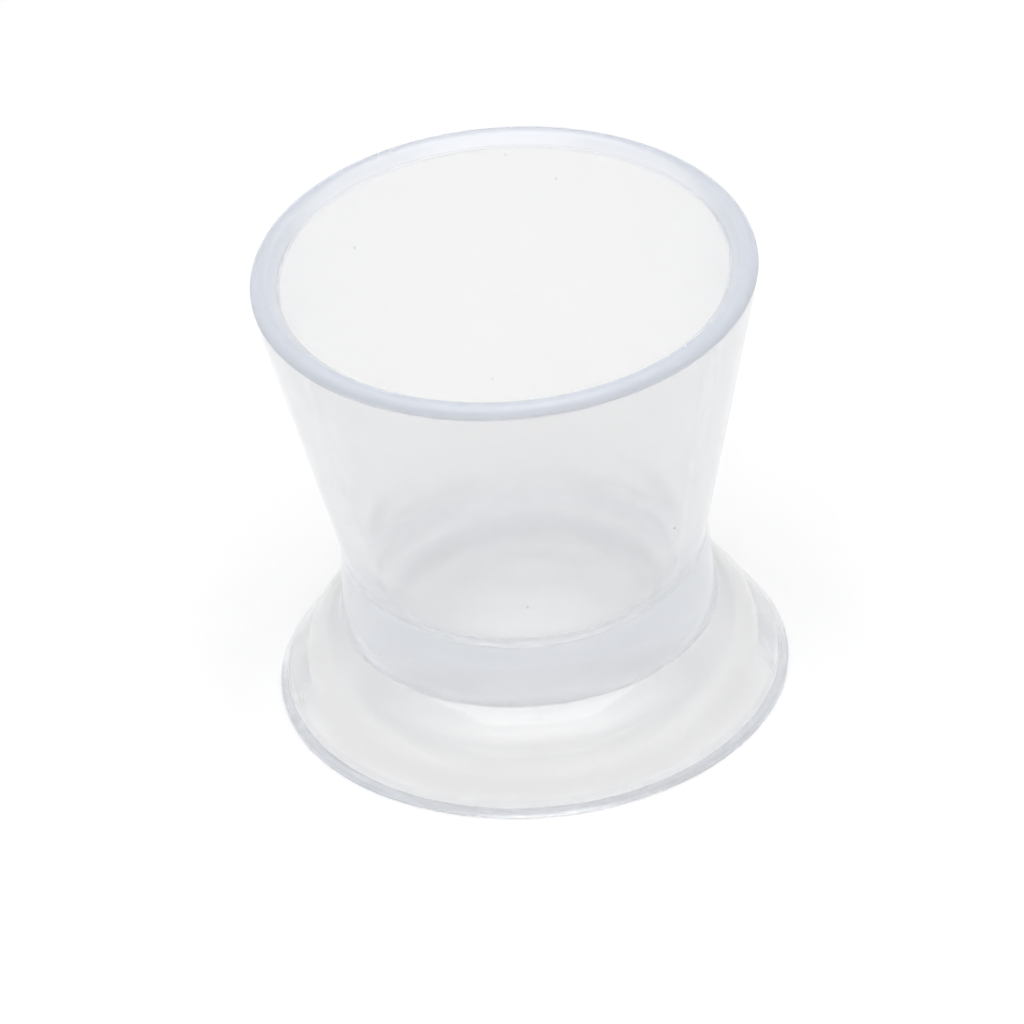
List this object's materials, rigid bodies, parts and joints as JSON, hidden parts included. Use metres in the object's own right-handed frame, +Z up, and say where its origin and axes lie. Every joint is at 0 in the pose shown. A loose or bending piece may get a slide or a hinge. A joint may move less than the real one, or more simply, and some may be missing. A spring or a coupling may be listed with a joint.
{
  "type": "resin mixing cup",
  "caption": "Tapered cup of clear silicone with a rounded rim, thick floor and collar, on a flared suction foot that presses down and springs back.",
  "frame": {"origin": "centre of the foot on the surface that the cup stands on", "axes": "+Z up along the cup's axis, towards the rim; +X and +Y are any two level directions, because the cup is turned about Z"},
  "size_m": [0.0507, 0.0506, 0.0488],
  "materials": {
    "clear_silicone": "clear, faintly milky and blue-white moulded silicone, satin outside and smooth inside"
  },
  "bodies": {
    "suction_foot": {"sealing_lip": "clear_silicone", "suction_skirt": "clear_silicone"},
    "cup": {"cup_floor": "clear_silicone", "neck_collar": "clear_silicone", "cup_wall": "clear_silicone", "pouring_rim": "clear_silicone"}
  },
  "joints": [
    {"name": "suction_press", "type": "slide", "parent": "suction_foot", "child": "cup", "axis": [0, 0, -1], "range_m": [0, 0.003], "stiffness_N_per_m": 3000, "deforming": ["suction_skirt"]}
  ]
}
